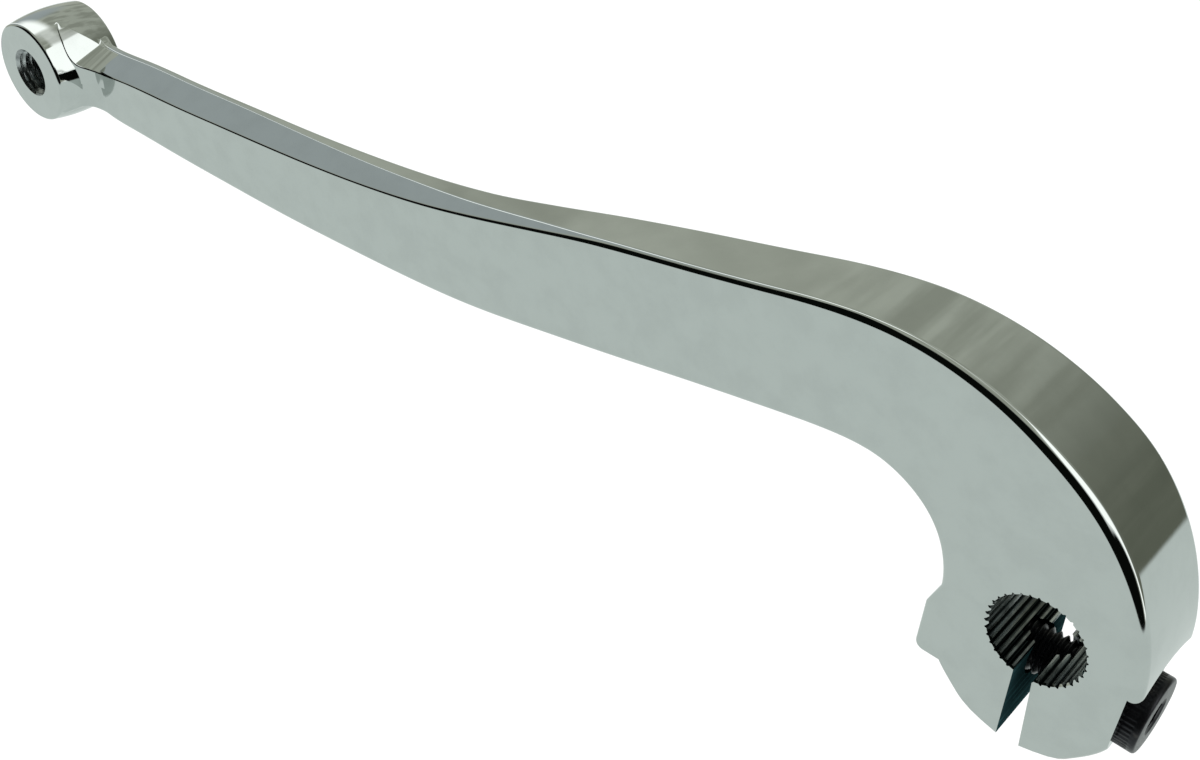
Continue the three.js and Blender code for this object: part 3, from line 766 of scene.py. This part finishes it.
def arm_tools(sizes, machined):
    """Every solid that joins or cuts the arm, in the order they act."""
    front, back = CLAMP_FRONT.y, CLAMP_BACK.y
    over = 3.0 * MM
    bolt_y, bolt_z = BOLT_AXIS.y, BOLT_AXIS.z
    lobe_end = min(p[0] for p in LOBE_OUTLINE) * MM
    bore = turned(
        "bore", [(sizes.spline_tip, front - over), (sizes.spline_tip, back + over)], 144, along_y(0, 0))
    grooves = node_shaped(
        groove_cutter(sizes), ring_tree(), {"Count": sizes.spline_teeth, "Material": machined}, "grooves")
    slit = prism_y("slit", [(x * MM, z * MM) for x, z in SLIT_OUTLINE], front - over, back + over)
    hole = turned("bolt_hole", [(sizes.bolt_hole, lobe_end - over), (sizes.bolt_hole, sizes.flat_x + over)],
                  64, along_x(0, bolt_y, bolt_z))
    seat = turned("seat", [(sizes.seat_radius, sizes.seat_x), (sizes.seat_radius, sizes.flat_x + over)],
                  96, along_x(0, bolt_y, bolt_z))
    flat = turned("flat", [(sizes.flat_cutter, sizes.flat_x), (sizes.flat_cutter, sizes.flat_x + 2 * over)],
                  256, along_x(0, 0, sizes.flat_top - sizes.flat_cutter))
    eye = eye_cutter(sizes, machined)
    minor = sizes.eye_major - sizes.eye_depth
    cones = [
        mouth_cone("bore_mouth_front", sizes.spline_tip, sizes.bore_chamfer, front, 0, -1),
        mouth_cone("bore_mouth_back", sizes.spline_tip, sizes.bore_chamfer, back, 0, 1),
        mouth_cone("eye_mouth_front", minor, 1.0 * MM, EYE_FRONT.y, EYE_FRONT.x, -1),
        mouth_cone("eye_mouth_back", minor, 1.0 * MM, EYE_BACK.y, EYE_FRONT.x, 1),
    ]
    joined = [(solid, "UNION") for solid in (barrel_solid(sizes), gusset_solid(), lobe_solid(sizes))]
    return joined + [(t, "DIFFERENCE") for t in (bore, grooves, *cones, slit, hole, seat, flat, eye)]


def eye_cutter(sizes, machined):
    """The tap that cuts the barrel's thread: a rod with a helical groove."""
    over = 2.0 * MM
    low, high = EYE_FRONT.y - over, EYE_BACK.y + over
    rows = int((high - low) / sizes.eye_pitch * 14)
    profile = [(sizes.eye_major, low + (high - low) * k / rows) for k in range(rows + 1)]
    blank = turned("eye_tap", profile, 72)
    tapped = node_shaped(blank, thread_tree(), {
        "Start": low - over, "End": high + over, "Pitch": sizes.eye_pitch, "Depth": sizes.eye_depth,
        "Fade In": 0.1 * MM, "Fade Out": 0.1 * MM, "Crest Flat": 0.15, "Material": machined}, "eye_tap")
    tapped.data.transform(along_y(EYE_FRONT.x, 0))
    return tapped


def paint_cut_faces(mesh, sizes):
    """Gives the spline, the threads and the cross hole their machined metal and the slit its painted-shade
    metal, by where they lie.
    """
    front, back = CLAMP_FRONT.y, CLAMP_BACK.y
    bore_rim = sizes.spline_root + 0.05 * MM
    slit_low = min(x for x, _ in SLIT_OUTLINE) * MM - 0.25 * MM
    slit_high = max(x for x, _ in SLIT_OUTLINE) * MM + 0.1 * MM
    slit_top = max(z for _, z in SLIT_OUTLINE) * MM
    for face in mesh.polygons:
        at, towards = face.center, face.normal
        from_bore = math.hypot(at.x, at.z)
        from_eye = math.hypot(at.x - EYE_FRONT.x, at.z)
        from_bolt = math.hypot(at.y - BOLT_AXIS.y, at.z - BOLT_AXIS.z)
        if from_bore < bore_rim and abs(towards.y) < 0.3:
            face.material_index = 1
        elif from_eye < sizes.eye_major + 0.05 * MM and abs(towards.y) < 0.99:
            face.material_index = 1
        elif (slit_low < at.x < slit_high and at.z < slit_top and front < at.y < back
              and abs(towards.x) > 0.9):
            face.material_index = 2
        elif from_bolt < sizes.bolt_hole + 0.05 * MM and abs(towards.x) < 0.3:
            face.material_index = 1


class FOOTLEVER_OT_lever_arm(bpy.types.Operator):
    """Build the forged arm with its splined clamp, threaded lobe and cross barrel"""

    bl_idname = "foot_lever.lever_arm"
    bl_label = "Lever Arm"

    def execute(self, context):
        sizes, finishes = context.scene.lever_arm_sizes, context.scene.lever_finishes
        # sawn is the slit's painted-shade metal.
        chrome, machined, sawn = chrome_plate(finishes), machined_steel(finishes), painted_shade_slit_steel(finishes)
        arm = stacked("lever_arm_body", arm_rings(sizes))
        tools = [carve(arm, tool, how) for tool, how in arm_tools(sizes, machined)]
        arm = baked(arm, "lever_arm_chromed")
        for tool in tools:
            bpy.data.objects.remove(tool)
        arm.data.materials.clear()
        for metal in (chrome, machined, sawn):
            arm.data.materials.append(metal)
        for face in arm.data.polygons:
            face.material_index = 0
        paint_cut_faces(arm.data, sizes)
        arm = baked(tidy_normals(arm, 32), "lever_arm_chromed")
        finished(arm, "lever", "lever_arm")
        return {"FINISHED"}


# ---- pinch bolt ----
def hexagon_reach(across, angle):
    """How far a hexagon's side lies from its centre in a direction."""
    sixth = math.pi / 3
    return across / 2 / math.cos((angle + sixth / 2) % sixth - sixth / 2)


def bolt_blank(sizes):
    """The bolt without its thread, standing on its tip along Z, as rings of (radius by angle, height)."""
    around = 4 * sizes.knurl_ridges
    total = BOLT_HIGH.x - BOLT_LOW.x
    under = total - sizes.head_height
    shank, head = sizes.shank_radius, sizes.head_radius
    tip, fillet, edge, floor = 0.7 * MM, 0.4 * MM, 0.5 * MM, total - sizes.socket_depth
    corner = sizes.socket_flats / math.sqrt(3)
    rows = int((under - tip) / (sizes.pitch / 12))
    rings = [(lambda a: 0.3 * MM, 0.0), (lambda a: shank - tip, 0.0)]
    rings += [(lambda a: shank, tip + (under - tip - fillet) * k / rows) for k in range(rows + 1)]
    for k in range(1, 5):
        angle = k / 4 * math.pi / 2
        out, up = fillet * (1 - math.cos(angle)), fillet * math.sin(angle)
        rings.append((lambda a, out=out: shank + out, under - fillet + up))
    rings += [(lambda a: head - 0.3 * MM, under), (lambda a: head - 0.05 * MM, under + 0.25 * MM)]

    def knurled(share):
        return lambda a: head - share * sizes.knurl_depth * (0.5 - 0.5 * math.cos(a * sizes.knurl_ridges))

    knurl_low, knurl_high = under + 0.5 * MM, total - 1.2 * MM
    for share, height in ((0.0, knurl_low - 0.1 * MM), (1.0, knurl_low + 0.1 * MM),
                          (1.0, knurl_high - 0.1 * MM), (0.0, knurl_high + 0.1 * MM)):
        rings.append((knurled(share), height))
    for k in range(5):
        angle = k / 4 * math.pi / 2
        height = total - edge * (1 - math.sin(angle))
        rings.append((lambda a, t=angle: head - edge * (1 - math.cos(t)), height))
    rings += [(lambda a: corner + 0.35 * MM, total), (lambda a: corner + 0.05 * MM, total - 0.25 * MM)]
    rings += [(lambda a: hexagon_reach(sizes.socket_flats, a), total - 0.35 * MM)]
    rings += [(lambda a: hexagon_reach(sizes.socket_flats, a), floor)]
    rings += [(lambda a: corner * 0.5, floor - 0.35 * MM), (lambda a: 0.2 * MM, floor - 0.7 * MM)]
    angles = [2 * math.pi * k / around for k in range(around)]
    points = [[(r(a) * math.cos(a), r(a) * math.sin(a), z) for a in angles] for r, z in rings]
    return stacked("pinch_bolt_blank", points), under


class FOOTLEVER_OT_pinch_bolt(bpy.types.Operator):
    """Build the low-head socket screw that closes the clamp"""

    bl_idname = "foot_lever.pinch_bolt"
    bl_label = "Pinch Bolt"

    def execute(self, context):
        sizes, finishes = context.scene.pinch_bolt_sizes, context.scene.lever_finishes
        blank, under = bolt_blank(sizes)
        bolt = node_shaped(blank, thread_tree(), {
            "Start": 0.0, "End": under - sizes.plain_shank, "Pitch": sizes.pitch, "Depth": sizes.thread_depth,
            "Fade In": 0.6 * MM, "Fade Out": sizes.pitch, "Crest Flat": 0.12,
            "Material": black_oxide(finishes)}, "pinch_bolt_threaded")
        bolt.data.transform(along_x(BOLT_LOW.x, BOLT_AXIS.y, BOLT_AXIS.z))
        bolt = baked(tidy_normals(bolt, 30), "pinch_bolt_threaded")
        finished(bolt, "bolt", "pinch_bolt")
        return {"FINISHED"}


# ---- lock washer ----
class FOOTLEVER_OT_lock_washer(bpy.types.Operator):
    """Build the split spring washer under the bolt's head"""

    bl_idname = "foot_lever.lock_washer"
    bl_label = "Lock Washer"

    def execute(self, context):
        sizes, finishes = context.scene.lock_washer_sizes, context.scene.lever_finishes
        inner, outer, edge = sizes.inner_radius, sizes.outer_radius, sizes.edge
        corners = [(inner, 0.0), (outer, 0.0), (outer, sizes.wire), (inner, sizes.wire)]
        section = rounded(corners, [edge] * 4, 3)
        opening = sizes.gap / ((inner + outer) / 2)
        steps = 96
        rings = []
        for k in range(steps + 1):
            t = k / steps
            angle = opening / 2 + t * (2 * math.pi - opening)
            rings.append([
                (WASHER_LOW.x + p.y + t * sizes.rise, -p.x * math.cos(angle), p.x * math.sin(angle))
                for p in section])
        washer = stacked("lock_washer_wire", rings)
        washer.data.transform(Matrix.Translation((0, BOLT_AXIS.y, BOLT_AXIS.z)))
        washer.data.materials.append(zinc_plate(finishes))
        washer = baked(tidy_normals(washer, 40), "lock_washer_sprung")
        finished(washer, "washer_carrier", "lock_washer")
        return {"FINISHED"}


# ---- studio ----
WHITE = (1.0, 1.0, 1.0, 1.0)
GREY_FLOOR = (0.80, 0.86, 0.835, 1.0)
OLIVE_HIGH = (0.58, 0.60, 0.52, 1.0)
OLIVE_LOW = (0.17, 0.18, 0.14, 1.0)
OLIVE_SHADE = (0.24, 0.25, 0.20, 1.0)
LEFT_WALL = (0.50, 0.545, 0.555, 1.0)
FLAG_BLACK = (0.004, 0.005, 0.004, 1.0)
SOFTBOX = (1.9, 1.9, 1.87, 1.0)
SIDE_PANEL = (1.1, 1.12, 1.1, 1.0)


def window(tree, value, low, full, fading, gone):
    """1 while the value is between full and fading, easing to 0 at low and at gone."""
    return maths(
        tree, "MULTIPLY", ramped(tree, value, low, full), ramped(tree, value, fading, gone, rises=False))


def facing(tree, way, direction):
    """How nearly a mirrored direction agrees with the one given: 1 where they are the same."""
    return vector_maths(tree, "DOT_PRODUCT", way, Vector(direction).normalized()).outputs["Value"]


def olive_room(tree, way):
    """The clouded olive walls, darker in the far right corner, with a pale panel on either side."""
    room = mixed(tree, ramped(tree, facing(tree, way, (0.66, 0.75, -0.02)), 0.50, 1.0), OLIVE_HIGH, OLIVE_LOW)
    noise = add_node(tree, "ShaderNodeTexNoise", inputs={"Vector": way, "Scale": 7.0, "Detail": 4.0})
    cloud = maths(tree, "MULTIPLY", ramped(tree, noise.outputs["Fac"], 0.40, 0.62), 0.5)
    room = mixed(tree, cloud, room, OLIVE_SHADE)
    right_panel = ramped(tree, facing(tree, way, (0.95, -0.1, 0.62)), 0.86, 0.93)
    room = mixed(tree, right_panel, room, SIDE_PANEL)
    left_wall = ramped(tree, facing(tree, way, (-0.95, 0.1, 0.35)), 0.88, 0.95)
    return mixed(tree, left_wall, room, LEFT_WALL)


def front_flag(tree, part, room):
    """Hangs the black flag on the camera's side; its edge draws back at the left and in the middle."""
    left = maths(tree, "MAXIMUM", maths(tree, "SUBTRACT", -0.37, part["X"]), 0.0)
    middle = window(tree, part["X"], -0.60, -0.30, 0.80, 1.0)
    past_edge = maths(tree, "ADD", maths(tree, "MULTIPLY", middle, 0.5), maths(tree, "MULTIPLY", left, 1.08))
    past_edge = maths(tree, "ADD", part["Y"], past_edge)
    return mixed(tree, ramped(tree, past_edge, -0.02, 0.10, rises=False), room, FLAG_BLACK)


def strip_softbox(tree, part, room):
    """Hangs the strip softbox behind the flag; it is deeper at the right and weaker overhead."""
    deeper = maths(tree, "MULTIPLY", window(tree, part["X"], 0.40, 0.60, 0.80, 1.0), 0.5)
    near_edge = ramped(tree, maths(tree, "ADD", part["Y"], deeper), 0.12, 0.17)
    strip = maths(tree, "MULTIPLY", near_edge, ramped(tree, part["Y"], 0.24, 0.33, rises=False))
    overhead = window(tree, part["X"], -0.35, -0.20, 0.30, 0.45)
    strength = maths(tree, "SUBTRACT", 1.0, maths(tree, "MULTIPLY", overhead, 0.65))
    return mixed(tree, maths(tree, "MULTIPLY", strip, strength), room, SOFTBOX)


def grey_floor(tree, part, room):
    """Lays the grey floor under the room, to a horizon that rises towards the back."""
    horizon = add_node(tree, "ShaderNodeMapRange", inputs={
        "Value": part["Y"], "From Min": -0.5, "From Max": 0.6, "To Min": -0.30, "To Max": -0.13}).outputs[0]
    above = maths(tree, "SUBTRACT", part["Z"], horizon)
    return mixed(tree, ramped(tree, above, -0.02, 0.02, rises=False), room, GREY_FLOOR)


def studio_world():
    """White to the camera and to matt surfaces; chrome mirrors a painted studio instead."""
    world = bpy.data.worlds.new("soft_studio")
    world.use_nodes = True
    tree = world.node_tree
    tree.nodes.clear()
    way = add_node(tree, "ShaderNodeTexCoord").outputs["Generated"]
    part = add_node(tree, "ShaderNodeSeparateXYZ", inputs={0: way}).outputs
    mirrored = olive_room(tree, way)
    for added in (front_flag, strip_softbox, grey_floor):
        mirrored = added(tree, part, mirrored)
    path = add_node(tree, "ShaderNodeLightPath").outputs
    plain = maths(tree, "MAXIMUM", path["Is Camera Ray"], path["Is Diffuse Ray"])
    shown = mixed(tree, plain, mirrored, WHITE)
    background = add_node(tree, "ShaderNodeBackground", inputs={"Color": shown, "Strength": 1.0})
    add_node(tree, "ShaderNodeOutputWorld", inputs={"Surface": background.outputs[0]})
    return world


def pale_floor(settings):
    """A broad pale floor with a faint grain."""
    low = min(CAD_LOW.z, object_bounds()[0].z) - settings.floor_drop
    ring = [2 * math.pi * k / 96 for k in range(96)]
    floor = mesh_object(
        "floor", [(settings.floor_size * math.cos(a), settings.floor_size * math.sin(a), low) for a in ring],
        [tuple(range(96))])
    material, tree, shader = new_metal("pale_floor", settings.floor_colour, 0.9, 0.0)
    shader.inputs["Specular IOR Level"].default_value = 0.1
    speck = grain(tree, 40.0, (1, 1, 1), 3.0, 0.7)
    off = tuple(c * 0.99 for c in settings.floor_colour)
    base = mixed(tree, speck, (*settings.floor_colour, 1.0), (*off, 1.0))
    tree.links.new(base, shader.inputs["Base Color"])
    floor.data.materials.append(material)
    floor.visible_glossy = False
    floor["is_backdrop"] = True
    return floor


def soft_light(name, place, size, watts):
    """A square area light aimed at the lever's middle."""
    lamp = bpy.data.lights.new(name, "AREA")
    lamp.shape = "SQUARE"
    lamp.size = size
    lamp.energy = watts
    thing = bpy.data.objects.new(name, lamp)
    middle = (CAD_LOW + CAD_HIGH) / 2
    thing.location = middle + Vector(place)
    thing.rotation_euler = (-Vector(place)).to_track_quat("-Z", "Y").to_euler()
    thing.visible_glossy = False
    bpy.context.scene.collection.objects.link(thing)
    return thing


def lever_camera(settings):
    """The camera, from its place, its aim and its upright."""
    data = bpy.data.cameras.new("camera")
    data.sensor_width = 36.0
    data.lens = settings.camera_lens
    data.clip_start, data.clip_end = 0.01, 50.0
    camera = bpy.data.objects.new("camera", data)
    back = -Vector(settings.camera_aim).normalized()
    right = Vector(settings.camera_up).cross(back).normalized()
    up = back.cross(right)
    turn = Matrix((right, up, back)).transposed().to_4x4()
    camera.matrix_world = Matrix.Translation(BORE + Vector(settings.camera_place)) @ turn
    bpy.context.scene.collection.objects.link(camera)
    bpy.context.scene.camera = camera
    return camera


class FOOTLEVER_OT_stage(bpy.types.Operator):
    """Lay the floor, set the soft light and place the camera"""

    bl_idname = "foot_lever.stage"
    bl_label = "Stage"

    def execute(self, context):
        settings = context.scene.lever_stage
        lever_camera(settings)
        context.scene.world = studio_world()
        pale_floor(settings)
        soft_light("overhead_light", (-0.1, 0.5, 1.4), 1.6, 6.0)
        context.scene.view_settings.view_transform = "Standard"
        return {"FINISHED"}


# ---- panel and registration ----
class FOOTLEVER_PT_panel(bpy.types.Panel):
    """Lists the lever's pieces, its sizes and its stage"""

    bl_idname = "FOOTLEVER_PT_panel"
    bl_label = "Foot Lever"
    bl_space_type = "VIEW_3D"
    bl_region_type = "UI"
    bl_category = "Foot Lever"

    def draw(self, context):
        for operator, group in OPERATORS:
            box = self.layout.box()
            box.operator(operator.bl_idname, text=operator.bl_label)
            settings = getattr(context.scene, group)
            for name in settings.bl_rna.properties.keys():
                if name not in ("rna_type", "name"):
                    box.prop(settings, name)
        box = self.layout.box()
        box.label(text="Finishes")
        for name in context.scene.lever_finishes.bl_rna.properties.keys():
            if name not in ("rna_type", "name"):
                box.prop(context.scene.lever_finishes, name)


GROUPS = {
    "lever_arm_sizes": LeverArmSizes,
    "pinch_bolt_sizes": PinchBoltSizes,
    "lock_washer_sizes": LockWasherSizes,
    "lever_finishes": LeverFinishes,
    "lever_stage": LeverStage,
}
OPERATORS = (
    (FOOTLEVER_OT_lever_arm, "lever_arm_sizes"),
    (FOOTLEVER_OT_pinch_bolt, "pinch_bolt_sizes"),
    (FOOTLEVER_OT_lock_washer, "lock_washer_sizes"),
    (FOOTLEVER_OT_stage, "lever_stage"),
)


def register():
    for name, group in GROUPS.items():
        bpy.utils.register_class(group)
        setattr(bpy.types.Scene, name, bpy.props.PointerProperty(type=group))
    for operator, _ in OPERATORS:
        bpy.utils.register_class(operator)
    bpy.utils.register_class(FOOTLEVER_PT_panel)


def unregister():
    bpy.utils.unregister_class(FOOTLEVER_PT_panel)
    for operator, _ in reversed(OPERATORS):
        bpy.utils.unregister_class(operator)
    for name, group in reversed(GROUPS.items()):
        delattr(bpy.types.Scene, name)
        bpy.utils.unregister_class(group)


def main():
    register()
    bpy.ops.foot_lever.lever_arm()
    bpy.ops.foot_lever.pinch_bolt()
    bpy.ops.foot_lever.lock_washer()
    bpy.ops.foot_lever.stage()


if __name__ == "__main__":
    main()
